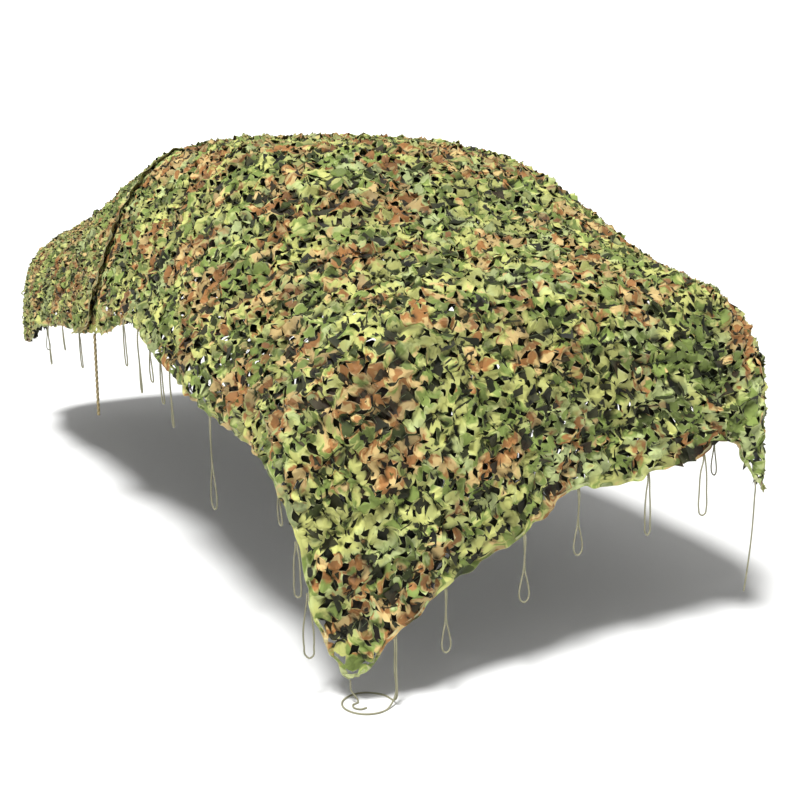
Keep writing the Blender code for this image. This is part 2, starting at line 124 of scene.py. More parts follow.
WIDE_HEM = 0.8  # cells at the hem are cut from this size on, in squares of the pitch
PIECES = 3  # each panel's cloth is divided, for the limit of triangles a piece

# A cross cut, in squares of its cell: ranges of the chance moves of its necks, petals and tips
LONG_NECK = (2.35, 2.9)
SHORT_NECK = (1.9, 2.7)
SLIT_NECK = (1.0, 1.6)
SLIT_SHARE = 0.2
NECK_REACH = (0.85, 1.0)
NECK_SHIFT = 0.75
NECK_RISE = 0.4
CENTRE_SHIFT = 0.4
BULGE = (-0.35, 0.65)
TIP_SHIFT = 0.8
TIP_RISE = (-0.3, 1.3)
SIDE_BULGE = (-0.1, 0.08)
SIDE_RISE = 0.45
POINT_SHIFT = 0.5
LEAN = 0.25
LEAST_DEPTH = 0.05
BULGE_DEPTH = 0.4  # share of its side's bulge that a petal's depth leaves out
SIDE_POINT = 0.4  # how far a petal's sides are drawn towards its point
TIP_POINT = 0.55  # and its tip
WIDEN = 0.15
FOOT_RISE = 0.3
DOME = (-0.8, 1.0)  # an uncut cell's rise
FOLD_STEPS = 24
CUT_AWAY = 0.24  # petals that are cut away
# The other petals: up to which draw, way of the fold, and ranges of fold, bend and curl
FOLDS = (
    (0.42, -1.0, (1.0, 1.6), (0.4, 1.0), (-0.2, 0.1)),
    (0.88, 1.0, (1.9, 2.85), (0.3, 0.7), (-0.3, 0.1)),
    (1.00, 1.0, (0.2, 1.0), (0.5, 1.0), (-0.3, 0.5)),
)

# The dark leaf behind a cell's hole, painted near black as the shade seen through the hole: its turn,
# size, shift, tilt, depth and hollow
BACK_CUTS = 1  # cuts across it, for two by two squares
BACK_TURN = 0.4
BACK_SIZE = (1.2, 1.4)
BACK_SHIFT = 0.6
BACK_TILT = 0.35
BACK_DEPTH = (1.1, 1.8)
BACK_HOLLOW = (-0.5, 0.9)
BACK_SHADE_RISE = -0.62  # painted shade of the leaves behind the holes, given as a depth in centimetres
TO_CENTIMETRES = 100.0
SWAY_SHADE = 0.45  # how much the tilt counts in the painted shade

# Ties and the cord at the lap: three laid strands
TIE_RADIUS = 0.0030  # over the strands
TIE_LAY = 0.020  # length of one turn of the strands
TIE_STEP = 0.0022
TIE_SIDES = 9
TIE_GROOVE = 0.30  # depth of the grooves between the strands, against the radius
TIE_TUCK = 0.012  # how far a tie's end runs up behind its hem
TIE_BEHIND = 0.003
FREE_TIES = ("tie_rear_6", "tie_tip")
LAP_RADIUS = 0.0065
LAP_LAY = 0.068
LAP_STEP = 0.0025
LAP_SIDES = 24
LAP_GROOVE = 0.42
MESH_DEPTH = 0.005  # the base mesh lies this far inside the cloth
STRANDS = 3
LINE_STEPS = 12  # points between two points of a cord's route
CORD_CREASE = math.radians(60)
SAME_WAY = 0.99  # faces of a cord's flat end turn this little from each other
HEM_ROLL = 0.0009  # how far the hem's edge rolls out, and the turned layer lies below
# Each panel's flat size and area, what even_quads is asked for, and the print's darkest tone. What is
# asked for decides how true the hems stay.
PANELS = {
    "main_net": {"seed": 11, "flat": (2.65, 3.35), "area": 7.96, "asked": 1.0525, "shade": 0.50},
    "front_panel": {"seed": 23, "flat": (2.65, 2.45), "area": 5.80, "asked": 1.50, "shade": 0.40},
}
RIM_EDGE = 0.006  # the solid's rim faces have a shorter edge than this

# Patches of the print: place of their noise, the axis it moves along from panel to panel, its scale
# and detail, and the level and softness of their outline
PATCHES = {
    "sage": ((8.8, 6.3, 1.9), 2, 5.0, 2.0, 0.56, 0.08),
    "mid": ((0.0, 0.0, 0.0), 0, 11.0, 2.5, 0.52, 0.03),
    "tan": ((5.5, 2.6, 8.1), 2, 14.0, 2.0, 0.50, 0.03),
    "brown": ((3.1, 1.7, 5.2), 0, 6.5, 3.0, 0.535, 0.02),
    "dark": ((7.7, 4.1, 0.3), 1, 12.0, 2.5, 0.63, 0.02),
    "black": ((1.2, 9.4, 2.8), 2, 13.0, 2.0, 0.67, 0.02),
}
SEED_SHIFT = 0.37  # a panel's print is moved by its seed times this
LEAF_SHIFT = (0.11, -0.09, 0.10)
FRAY_SCALE = 55.0
FRAY = 0.02
LEAF_TONE = 0.9
# Painted shade: the cloth's colour is multiplied by this map of its rise in centimetres, down to near
# black below the surface
RECESS_PAINTED_SHADE = {"From Min": -0.6, "From Max": 0.0, "To Min": 0.05, "To Max": 1.0}
# Cut edges lightened: their fraying, and a painted highlight
EDGE_FRAY_AND_HIGHLIGHT = 0.5
WEAVE = {"Scale": 9.0, "Distortion": 0.6, "Detail": 1.0}
WEAVE_HEIGHT = 0.15
CREASE_SCALE = 90.0
CLOTH_BUMP = (0.5, 0.002)
CLOTH_ROUGHNESS = 0.5
LEAF_ROUGHNESS = 0.15
TAPE_EDGE = (0.5, 0.2)
CLOTH_SHEEN = 0.25
YARN_BUMP = (0.4, 0.0004)
YARN_ROUGHNESS = 0.85
DIRT_SCALE = 60.0
DIRT = 0.5
DIRT_FROM = 0.75
FIBRE_SCALE = 900.0

# Slack of the cloth between its knots, as waves: reach along each axis in waves a metre, and height
WAVE_SHIFT = 1.7
AXIS_SHIFT = 2.3
RIPPLES = [
    ((11.0, 6.0, 4.0), 0.0022), ((-7.0, 12.0, 5.0), 0.0022), ((5.0, -9.0, 13.0), 0.0020),
    ((14.0, 11.0, -8.0), 0.0016), ((-16.0, 7.0, 12.0), 0.0014), ((9.0, 17.0, 15.0), 0.0012),
]


class NetSizes(bpy.types.PropertyGroup):
    """Sizes of the cut cloth."""
    pitch: FloatProperty(
        name="Cut pitch", description="Distance from one cut of the cloth to the next",
        default=0.0385, min=0.02, max=0.2, unit="LENGTH",
    )
    lift: FloatProperty(
        name="Leaf lift", description="How far the cut leaves stand up, against the modelled height",
        default=1.0, min=0.0, max=2.0, subtype="FACTOR",
    )
    mesh_pitch: FloatProperty(
        name="Base mesh pitch", description="Distance between the cords of the base mesh",
        default=0.085, min=0.03, max=0.3, unit="LENGTH",
    )
    twine: FloatProperty(
        name="Base mesh cord", description="Thickness of the base mesh's cord",
        default=0.0018, min=0.0005, max=0.01, unit="LENGTH",
    )
    hem_turn: FloatProperty(
        name="Hem turn", description="How far the hem's edge is turned in",
        default=0.012, min=0.0, max=0.05, unit="LENGTH",
    )


class NetColours(bpy.types.PropertyGroup):
    """Colours of the print and the cords."""
    light: FloatVectorProperty(
        name="Light green", description="Ground colour of the print", subtype="COLOR",
        default=(0.46, 0.47, 0.15), min=0.0, max=1.0,
    )
    sage: FloatVectorProperty(
        name="Sage green", description="Greyer ground colour of the print", subtype="COLOR",
        default=(0.40, 0.46, 0.20), min=0.0, max=1.0,
    )
    mid: FloatVectorProperty(
        name="Mid green", description="Second colour of the print", subtype="COLOR",
        default=(0.19, 0.25, 0.06), min=0.0, max=1.0,
    )
    dark: FloatVectorProperty(
        name="Dark green", description="Dark green of the print", subtype="COLOR",
        default=(0.042, 0.056, 0.012), min=0.0, max=1.0,
    )
    brown: FloatVectorProperty(
        name="Brown", description="Brown of the print", subtype="COLOR",
        default=(0.30, 0.14, 0.045), min=0.0, max=1.0,
    )
    tan: FloatVectorProperty(
        name="Tan", description="Tan of the print", subtype="COLOR",
        default=(0.52, 0.38, 0.16), min=0.0, max=1.0,
    )
    black: FloatVectorProperty(
        name="Black", description="Grey-black of the print", subtype="COLOR",
        default=(0.020, 0.021, 0.010), min=0.0, max=1.0,
    )
    tape: FloatVectorProperty(
        name="Lap hem", description="Colour of the plain hem at the lap", subtype="COLOR",
        default=(0.24, 0.21, 0.07), min=0.0, max=1.0,
    )
    # Frayed cut edges, with a painted highlight
    edge_fray_highlight: FloatVectorProperty(
        name="Cut edge", description="Colour of the cloth's cut edges", subtype="COLOR",
        default=(0.55, 0.55, 0.32), min=0.0, max=1.0,
    )
    cord: FloatVectorProperty(
        name="Cord", description="Colour of the ties", subtype="COLOR",
        default=(0.27, 0.26, 0.17), min=0.0, max=1.0,
    )
    lap_cord: FloatVectorProperty(
        name="Lap cord", description="Colour of the thick cord at the lap", subtype="COLOR",
        default=(0.30, 0.24, 0.12), min=0.0, max=1.0,
    )
    twine: FloatVectorProperty(
        name="Base mesh", description="Colour of the base mesh's cord", subtype="COLOR",
        default=(0.07, 0.09, 0.045), min=0.0, max=1.0,
    )


class Cut:
    """One way to cut a cell: labels of its squares, the edges cut, and where each corner goes.

    Corners run from 0 to GRID both ways. Label 0 is the ground of the cell, 1 to 4 are its petals,
    and a petal that is labelled -1 is cut away.
    """

    def __init__(self):
        at = np.arange(GRID + 1.0)
        across, along = np.meshgrid(at, at, indexing="ij")
        self.label = np.zeros((GRID, GRID), int)
        self.across = np.zeros((GRID, GRID + 1), bool)
        self.along = np.zeros((GRID + 1, GRID), bool)
        flat = np.stack([across, along, 0.0 * across], -1)
        self.place = np.repeat(flat[None], PETALS + 1, axis=0)

    def slash(self, *corners):
        """Cut the cloth along grid lines from corner to corner."""
        for (a, b), (c, d) in zip(corners, corners[1:]):
            if b == d:
                self.across[min(a, c):max(a, c), b] = True
            else:
                self.along[a, min(b, d):max(b, d)] = True

    def put(self, label, corner, place, height):
        """Move one corner of a label, or of all labels."""
        i, j = corner
        self.place[label, i, j] = (*place, height)


def folded(length, fold, bend, curl):
    """Reach and height at a length along a flap that folds within a short bend and then curls."""
    at = (np.arange(FOLD_STEPS) + 0.5) / FOLD_STEPS * length
    angle = fold * np.minimum(at / bend, 1.0) + curl * np.maximum(at - bend, 0.0)
    return length * np.cos(angle).mean(), length * np.sin(angle).mean()


def fold_of(rng):
    """Fold, bend and curl of one petal, or None where it is cut away."""
    kind = rng.random()
    if kind < CUT_AWAY:
        return None
    _, way, *limits = next(row for row in FOLDS if kind < row[0])
    fold, bend, curl = (rng.uniform(*limit) for limit in limits)
    return way * fold, bend, curl


def between(first, second, share):
    """A place on the way from the first to the second."""
    return (1.0 - share) * first + share * second


def star_cut(rng):
    """A cross cut: its hole narrows the cloth to necks, and four petals turn about its sides."""
    cut = Cut()
    middle = GRID // 2
    cut.slash((middle, middle - HALF), (middle, middle + HALF))
    cut.slash((middle - HALF, middle), (middle + HALF, middle))
    ways = [np.array(way) for way in ((0, -1), (1, 0), (0, 1), (-1, 0))]
    centre = np.array([middle, middle]) + rng.uniform(-CENTRE_SHIFT, CENTRE_SHIFT, 2)
    long = rng.uniform(*LONG_NECK)
    short = rng.uniform(*SLIT_NECK) if rng.random() < SLIT_SHARE else rng.uniform(*SHORT_NECK)
    necks = [
        np.array([middle, middle]) + way * (long if turn % 2 else short) * rng.uniform(*NECK_REACH)
        + way[::-1] * rng.uniform(-NECK_SHIFT, NECK_SHIFT) for turn, way in enumerate(ways)
    ]
    for turn, neck in enumerate(necks):
        cut.put(slice(None), middle + HALF * ways[turn], neck, rng.uniform(-NECK_RISE, NECK_RISE))
    for petal in range(PETALS):
        first, second = petal, (petal + 1) % PETALS
        a, b = ways[first], ways[second]
        start, end = necks[first], necks[second]
        along = (end - start) / np.linalg.norm(end - start)
        inward = np.array([-along[1], along[0]])
        inward *= np.sign(inward @ (centre - start))
        bulge = rng.uniform(*BULGE)
        tip = (start + end) / 2 + inward * bulge + along * rng.uniform(-TIP_SHIFT, TIP_SHIFT)
        rise = rng.uniform(*TIP_RISE)
        cut.put(slice(None), middle + HALF * (a + b), tip, rise)
        for corner, neck in ((HALF * a + b, start), (a + HALF * b, end)):
            place = between(neck, tip, 0.5) + inward * rng.uniform(*SIDE_BULGE)
            cut.put(slice(None), middle + corner, place, SIDE_RISE * rise)
        low = [middle if step > 0 else middle - HALF for step in a + b]
        fold = fold_of(rng)
        square = slice(low[0], low[0] + HALF), slice(low[1], low[1] + HALF)
        if fold is None:
            cut.label[square] = -1
            continue
        label = petal + 1
        cut.label[square] = label
        point = centre + along * rng.uniform(-POINT_SHIFT, POINT_SHIFT)
        lean = rng.uniform(-LEAN, LEAN)
        for corner, place, side in (
            (0 * a, point, 0.0),
            (a, between(start, point, SIDE_POINT) + WIDEN * along, -1.0),
            (b, between(end, point, SIDE_POINT) - WIDEN * along, 1.0),
            (a + b, between(tip, point, TIP_POINT), 0.0),
        ):
            depth = max((place - start) @ inward - BULGE_DEPTH * max(bulge, 0.0), LEAST_DEPTH)
            reach, height = folded(depth, *fold)
            foot = place + inward * (reach - depth)
            cut.put(label, middle + corner, foot, height + lean * side + FOOT_RISE * rise)
    return cut


def plain_cut(rng):
    """No cut: the cloth only domes, or dips."""
    cut = Cut()
    at = np.sin(np.pi * np.arange(GRID + 1) / GRID)
    cut.place[..., 2] += rng.uniform(*DOME) * np.outer(at, at)
    return cut


def pattern_book(seed):
    """All hands of the cut, stacked for lookup, and the uncut ones after them."""
    rng = np.random.default_rng(seed)
    plain = max(1, round(HANDS * PLAIN_SHARE))
    cuts = [star_cut(rng) for _ in range(HANDS - plain)] + [plain_cut(rng) for _ in range(plain)]
    kinds = ("label", "across", "along", "place")
    return {kind: np.stack([getattr(cut, kind) for cut in cuts]) for kind in kinds}


def placed(name, data):
    """A new object in the scene."""
    thing = bpy.data.objects.new(name, data)
    bpy.context.scene.collection.objects.link(thing)
    return thing


def mesh_from(bm, name):
    """A new mesh from a finished edit mesh."""
    mesh = bpy.data.meshes.new(name)
    bm.to_mesh(mesh)
    bm.free()
    return mesh


def opened(mesh):
    """An edit mesh of a mesh."""
    bm = bmesh.new()
    bm.from_mesh(mesh)
    return bm


def solid_of(node):
    """An edit mesh of a CAD node, with its corners joined."""
    bm = opened(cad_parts[node].data)
    bmesh.ops.remove_doubles(bm, verts=bm.verts[:], dist=MERGE)
    return bm


def outer_skin(node):
    """The outward face of a CAD panel, as an open sheet."""
    bm = solid_of(node)
    rim = [face for face in bm.faces if min(edge.calc_length() for edge in face.edges) < RIM_EDGE]
    bmesh.ops.delete(bm, geom=rim, context="FACES")
    grow = [max(bm.verts, key=lambda vert: vert.co.z)]
    kept = set(grow)
    while grow:
        vert = grow.pop()
        fresh = {edge.other_vert(vert) for edge in vert.link_edges} - kept
        kept |= fresh
        grow.extend(fresh)
    bmesh.ops.delete(bm, geom=[vert for vert in bm.verts if vert not in kept], context="VERTS")
    bmesh.ops.join_triangles(
        bm, faces=bm.faces[:], angle_face_threshold=math.pi, angle_shape_threshold=math.pi,
    )
    return mesh_from(bm, node + "_skin")


def even_quads(skin, pitch, asked, name):
    """The skin rebuilt from squares that run with the cloth.

    asked is how many squares the remesher is asked for, against the area over the pitch squared.
    """
    sheet = placed(name, skin)
    smooth = sheet.modifiers.new("smooth", "SUBSURF")
    smooth.levels = 1
    smooth.render_levels = 1
    bpy.context.view_layer.update()
    graph = bpy.context.evaluated_depsgraph_get()
    fine = bpy.data.meshes.new_from_object(sheet.evaluated_get(graph))
    sheet.modifiers.clear()
    sheet.data = fine
    area = sum(face.area for face in fine.polygons)
    for other in bpy.context.selected_objects:
        other.select_set(False)
    sheet.select_set(True)
    bpy.context.view_layer.objects.active = sheet
    bpy.ops.object.quadriflow_remesh(
        use_mesh_symmetry=False, use_preserve_sharp=False, use_preserve_boundary=True,
        preserve_attributes=False, smooth_normals=False, mode="FACES",
        target_faces=int(asked * area / pitch ** 2), seed=1,
    )
    return sheet


def draw_to_hem(bm, flared):
    """Draw the first two rows of corners towards the outline, so that the uncut hem is narrow."""
    row = {vert for vert in bm.verts if vert.is_boundary and vert.co.y > flared}
    done = set(row)
    for share in (HEM_SHARE, SECOND_SHARE):
        moves = {}
        for vert in row:
            for edge in vert.link_edges:
                other = edge.other_vert(vert)
                if other not in done:
                    moves.setdefault(other, []).append((vert.co - other.co) * share)
        for vert, ways in moves.items():
            vert.co += sum(ways, Vector()) / len(ways)
        row = set(moves)
        done |= row


def ripple(points):
    """Slack of the cloth at each point, as a small move."""
    move = np.zeros_like(points)
    for number, (wave, height) in enumerate(RIPPLES):
        for axis in range(3):
            turned = np.roll(wave, axis)
            phase = WAVE_SHIFT * number + AXIS_SHIFT * axis
            move[:, axis] += height * np.sin(math.tau * (points @ turned) + phase)
    return move


def face_numbers(mesh, name):
    """A number of each face, by its attribute."""
    values = np.empty(len(mesh.polygons), np.int32)
    mesh.attributes[name].data.foreach_get("value", values)
    return values


def loop_arrays(mesh):
    """Corner data of a mesh of squares: cell, vertex, edge and place in the cell's grid."""
    faces = len(mesh.polygons)
    cell = face_numbers(mesh, "cell")
    vertex = np.empty(4 * faces, np.int32)
    edge = np.empty(4 * faces, np.int32)
    uv = np.empty(8 * faces, np.float32)
    mesh.loops.foreach_get("vertex_index", vertex)
    mesh.loops.foreach_get("edge_index", edge)
    mesh.uv_layers["cloth"].data.foreach_get("uv", uv)
    at = np.rint(uv.reshape(-1, 2) * GRID).astype(int)
    return cell, vertex.reshape(-1, 4), edge.reshape(-1, 4), at.reshape(-1, 4, 2)


def lay_out_cells(bm, rng):
    """Give each square of a panel its own cell, turned by chance, and return their corners."""
    cell_of = bm.faces.layers.int.new("cell")
    cloth = bm.loops.layers.uv.new("cloth")
    outline = bm.verts.layers.int.new("outline")
    for vert in bm.verts:
        vert[outline] = int(vert.is_boundary)
    unit = ((0.0, 0.0), (1.0, 0.0), (1.0, 1.0), (0.0, 1.0))
    corners = np.zeros((len(bm.faces), 4, 3))
    normals = np.zeros((len(bm.faces), 4, 3))
    nodes = np.zeros((len(bm.faces), 4), int)
    rim = np.zeros(len(bm.faces), int)
    for number, face in enumerate(bm.faces):
        face[cell_of] = number
        start = int(rng.integers(4))
        turn = 1 if rng.random() < 0.5 else -1
        for step, loop in enumerate(face.loops):
            corner = (start + turn * step) % 4
            loop[cloth].uv = unit[corner]
            corners[number, corner] = loop.vert.co
            normals[number, corner] = loop.vert.normal
            nodes[number, corner] = loop.vert.index
            rim[number] += loop.edge.is_boundary
    return corners, normals, nodes, rim


def corner_shares(x, y):
    """Share of each of a cell's four corners in a place, for x and y from 0 to 1."""
    return np.stack([(1 - x) * (1 - y), x * (1 - y), x * y, (1 - x) * y], axis=1)


def painted_shade_leaves(bm, shade_leaf):
    """A loose copy of each cell's square, for the dark leaf behind its hole, painted as the shade
    seen through it.
    """
    twins = bmesh.ops.duplicate(bm, geom=bm.faces[:])["geom"]
    for face in twins:
        if isinstance(face, bmesh.types.BMFace):
            face[shade_leaf] = 1
    own = [item for item in twins if isinstance(item, bmesh.types.BMEdge)]
    bmesh.ops.split_edges(bm, edges=own)
    outline = bm.verts.layers.int["outline"]
    for face in bm.faces:
        if face[shade_leaf]:
            for vert in face.verts:
                vert[outline] = 0


def back_places(rng, count, cell, at):
    """Where the corners of the leaves behind the holes go, in units of the cell's grid."""
    turn = rng.uniform(-BACK_TURN, BACK_TURN, count)[cell]
    size = rng.uniform(*BACK_SIZE, (count, 2))[cell]
    shift = rng.uniform(-BACK_SHIFT, BACK_SHIFT, (count, 2))[cell]
    tilt = rng.uniform(-BACK_TILT, BACK_TILT, (count, 2))[cell]
    depth = rng.uniform(*BACK_DEPTH, count)[cell]
    hollow = rng.uniform(*BACK_HOLLOW, count)[cell]
    away = (at - GRID / 2) * size
    across = away[:, 0] * np.cos(turn) - away[:, 1] * np.sin(turn)
    along = away[:, 0] * np.sin(turn) + away[:, 1] * np.cos(turn)
    bend = hollow * (across ** 2 + along ** 2) / (GRID / 2) ** 2
    drop = across * tilt[:, 0] + along * tilt[:, 1] - depth - bend
    return np.stack([across + shift[:, 0] + GRID / 2, along + shift[:, 1] + GRID / 2, drop], 1)


def cut_open(bm, mesh, book, hand, bare):
    """Split a panel's squares along the cuts, and delete what is cut away."""
    cell, _, edges, at = loop_arrays(mesh)
    shade_leaf = face_numbers(mesh, "shade_leaf") > 0
    after = np.roll(at, -1, axis=1)
    low = np.minimum(at, after)
    pattern = np.repeat(hand[cell][:, None], 4, axis=1)
    within = np.minimum(low, GRID - 1)
    inside = np.where(
        at[..., 1] == after[..., 1],
        book["across"][pattern, within[..., 0], low[..., 1]],
        book["along"][pattern, low[..., 0], within[..., 1]],
    )
    inside &= ~shade_leaf[:, None]
    square = at.min(axis=1)
    away = book["label"][hand[cell], square[:, 0], square[:, 1]] < 0
    away = np.where(shade_leaf, bare[cell], away)
    bm.edges.ensure_lookup_table()
    bm.faces.ensure_lookup_table()
    spare = [bm.faces[i] for i in np.flatnonzero(away)]
    bmesh.ops.split_edges(bm, edges=[bm.edges[i] for i in np.unique(edges[inside])])
    bmesh.ops.delete(bm, geom=spare, context="FACES")
    bm.to_mesh(mesh)


def flare_hem(bm, flared):
    """Stand the outline off the cloth below it where y is below flared."""
    row = [vert for vert in bm.verts if vert.is_boundary and vert.co.y < flared]
    done = set()
    for rise in FLARE:
        for vert in row:
            vert.co += vert.normal * rise * (1.0 - FLAT_FLARE * max(vert.normal.z, 0.0))
        done |= set(row)
        ends = {edge.other_vert(vert) for vert in row for edge in vert.link_edges}
        row = [vert for vert in ends - done if not vert.is_boundary]


def divided_cloth(sheet, pitch, flared, rng, book):
    """A panel's squares cut open, with what the placing of their corners needs."""
    bm = opened(sheet.data)
    draw_to_hem(bm, flared)
    bm.normal_update()
    bm.verts.index_update()
    flare_hem(bm, flared)
    stray = rng.normal(size=(len(bm.verts), 3)) * STRAY * pitch
    for vert in bm.verts:
        if not vert.is_boundary:
            move = Vector(stray[vert.index])
            vert.co += move - vert.normal * move.dot(vert.normal)
    bm.normal_update()
    corners, normals, nodes, rim = lay_out_cells(bm, rng)
    spread = np.cross(corners[:, 2] - corners[:, 0], corners[:, 3] - corners[:, 1])
    wide = np.linalg.norm(spread, axis=1) / 2 > WIDE_HEM * pitch ** 2
    hem = (rim == 1) & (~wide | (corners[..., 1].mean(axis=1) < flared))
    # each place where cells meet leans its own way, less at the hem
    lean = rng.normal(size=(len(bm.verts), 3))
    steep = rng.uniform(*STEEP, len(lean)) / np.linalg.norm(lean, axis=1)
    lean *= TILT * steep[:, None]
    for vert in bm.verts:
        if vert.is_boundary:
            lean[vert.index] *= HEM_LEAN
    hand = rng.integers(HANDS, size=len(hem))
    hand[hem] = HANDS - 1
    shade_leaf = bm.faces.layers.int.new("shade_leaf")
    painted_shade_leaves(bm, shade_leaf)
    for kind, cuts in ((0, GRID - 1), (1, BACK_CUTS)):
        own = [edge for edge in bm.edges if edge.link_faces[0][shade_leaf] == kind]
        bmesh.ops.subdivide_edges(bm, edges=own, cuts=cuts, use_grid_fill=True)
    mesh = bpy.data.meshes.new(sheet.name + "_cut")
    bm.to_mesh(mesh)
    cut_open(bm, mesh, book, hand, rim > 0)
    bm.free()
    return mesh, {
        "corners": corners, "normals": normals, "nodes": nodes,
        "hem": hem, "lean": lean, "hand": hand,
    }


def corner_owners(mesh, book, hand):
    """Cell, label, place in the grid and kind of each corner of the cut cloth."""
    cell, vertex, _, at = loop_arrays(mesh)
    square = at.min(axis=1)
    label = book["label"][hand[cell], square[:, 0], square[:, 1]]
    total = len(mesh.vertices)
    own_label = np.zeros(total, int)
    np.maximum.at(own_label, vertex.ravel(), np.repeat(label, 4))
    own_cell = np.zeros(total, int)
    own_cell[vertex.ravel()] = np.repeat(cell, 4)
    own_at = np.zeros((total, 2), int)
    own_at[vertex.ravel()] = at.reshape(-1, 2)
    behind = np.zeros(total, bool)
    behind[vertex.ravel()] = np.repeat(face_numbers(mesh, "shade_leaf") > 0, 4)
    return own_cell, own_label, own_at, behind


def cut_edges(mesh):
    """1 at each corner on a cut edge or the outline, and 0 within the cloth."""
    edge = np.empty(len(mesh.loops), np.int32)
    mesh.loops.foreach_get("edge_index", edge)
    ends = np.empty(2 * len(mesh.edges), np.int32)
    mesh.edges.foreach_get("vertices", ends)
    single = np.bincount(edge, minlength=len(mesh.edges)) == 1
    rim = np.zeros(len(mesh.vertices))
    rim[ends.reshape(-1, 2)[single]] = 1.0
    return rim


def cut_cloth(sheet, pitch, seed, lift, cover, flared):
    """Cut a panel's cloth into leaves: subdivide its squares, split them along the cuts, and lift.

    cover is the skin of the panel on top of it. Its own hem stands off where y is below flared.
    """
    rng = np.random.default_rng(seed)
    book = pattern_book(seed)
    mesh, laid = divided_cloth(sheet, pitch, flared, rng, book)
    corners = laid["corners"]
    hem = laid["hem"]
    count = len(hem)
    strength = lift * rng.uniform(*STRENGTH, count)
    strength[hem] = HEM_STRENGTH
    middle = corners.mean(axis=1)
    lapped = np.zeros(count, bool)
    if cover is not None:
        lapped[:] = [cover.find_nearest(at, LAP_REACH)[0] is not None for at in middle]
    side = np.linalg.norm(corners - np.roll(corners, -1, axis=1), axis=2).mean(axis=1)
    cell, label, at, behind = corner_owners(mesh, book, laid["hand"])
    total = len(cell)
    target = book["place"][laid["hand"][cell], np.where(behind, 0, label), at[:, 0], at[:, 1]]
    target = np.where(behind[:, None], back_places(rng, count, cell, at), target)
    share = corner_shares(target[:, 0] / GRID, target[:, 1] / GRID)
    flat = np.einsum("nk,nkd->nd", share, corners[cell])
    normal = np.einsum("nk,nkd->nd", share, laid["normals"][cell])
    height = target[:, 2] * strength[cell] * side[cell] / GRID
    firm = np.clip(target[:, :2] / GRID, 0.0, 1.0)
    for _ in range(FIRM_STEPS):
        firm = firm * firm * (3 - 2 * firm)
    firm = corner_shares(firm[:, 0], firm[:, 1])
    away = flat[:, None, :] - corners[cell]
    sway = lift * np.einsum("nk,nkd,nkd->n", firm, away, laid["lean"][laid["nodes"][cell]])
    # cloth under the lap is pressed inwards, which gives it painted shade along the lap hem
    sway = np.where(lapped[cell], -LAP_PRESS * np.abs(sway), np.where(behind, 0.0, sway))
    height = np.where(lapped[cell], -LAP_PRESS * np.abs(height), height)
    crumple = rng.uniform(-CRUMPLE, CRUMPLE, total)
    crumple[hem[cell]] *= HEM_CRUMPLE
    points = flat + normal * (height + sway + crumple)[:, None]
    points += ripple(flat)
    mesh.vertices.foreach_set("co", points.astype(np.float32).ravel())
    # painted shade: cloth that lies low or leans inwards is darkened, and the leaves behind the holes
    # most of all
    rise = np.where(behind, BACK_SHADE_RISE, TO_CENTIMETRES * (height + SWAY_SHADE * sway))
    tone = np.einsum("nk,nk->n", firm, rng.random(len(laid["lean"]))[laid["nodes"][cell]])
    petal_tone = rng.random((count, PETALS + 1))[cell, label]
    loose = (label > 0) & (np.abs(at - GRID // 2) < HALF).all(axis=1)
    tone = np.where(loose | behind, petal_tone, tone)
    taped = (hem & (middle[:, 1] < flared))[cell]
    # no painted shade on the plain tape at the lap
    rise[taped] = 0.0
    looks = (("rise", rise), ("leaf", tone), ("rim", cut_edges(mesh)), ("tape", taped))
    for name, values in looks:
        attribute = mesh.attributes.new(name, "FLOAT", "POINT")
        attribute.data.foreach_set("value", values.astype(np.float32))
    mesh.update()
    return mesh, middle


def rim_ways(rim):
    """Way out of the cloth, in its plane, and its normal, at each corner of its rim."""
    ways = {}
    for edge in rim:
        face = edge.link_faces[0]
        low, high = (vert.co for vert in edge.verts)
        along = (high - low).normalized()
        way = (low + high) / 2 - face.calc_center_median()
        way -= along * way.dot(along)
        for vert in edge.verts:
            out, normal = ways.get(vert, (Vector(), Vector()))
            ways[vert] = (out + way.normalized(), normal + face.normal)
    return {vert: (out.normalized(), normal.normalized()) for vert, (out, normal) in ways.items()}


def turn_hem(mesh, width):
    """Turn the cloth's outline in under itself."""
    bm = opened(mesh)
    bm.normal_update()
    outline = bm.verts.layers.int["outline"]
    rim = [
        edge for edge in bm.edges if edge.is_boundary and all(vert[outline] for vert in edge.verts)
    ]
    ways = rim_ways(rim)
    for out, down in ((HEM_ROLL, HEM_ROLL), (-width, HEM_ROLL)):
        grown = bmesh.ops.extrude_edge_only(bm, edges=rim)["geom"]
        rim = [item for item in grown if isinstance(item, bmesh.types.BMEdge) and item.is_boundary]
        fresh = {}
        for vert in (item for item in grown if isinstance(item, bmesh.types.BMVert)):
            ends = (edge.other_vert(vert) for edge in vert.link_edges)
            way, normal = ways[next(end for end in ends if end in ways)]
            vert.co += way * out - normal * down
            fresh[vert] = (way, normal)
        ways = fresh
    bm.to_mesh(mesh)
    bm.free()


def cord_route(node):
    """Middles of the rings of a CAD cord, from its highest end on."""
    bm = solid_of(node)
    bm.normal_update()
    cap = max(bm.faces, key=lambda face: face.calc_center_median().z)
    end = {cap}
    grow = [cap]
    while grow:
        for edge in grow.pop().edges:
            for face in edge.link_faces:
                if face not in end and face.normal.dot(cap.normal) > SAME_WAY:
                    end.add(face)
                    grow.append(face)
    ring = {vert for face in end for vert in face.verts}
    seen = set(ring)
    route = []
    while ring:
        route.append(sum((vert.co for vert in ring), Vector()) / len(ring))
        ring = {edge.other_vert(vert) for vert in ring for edge in vert.link_edges} - seen
        seen |= ring
    bm.free()
    return route


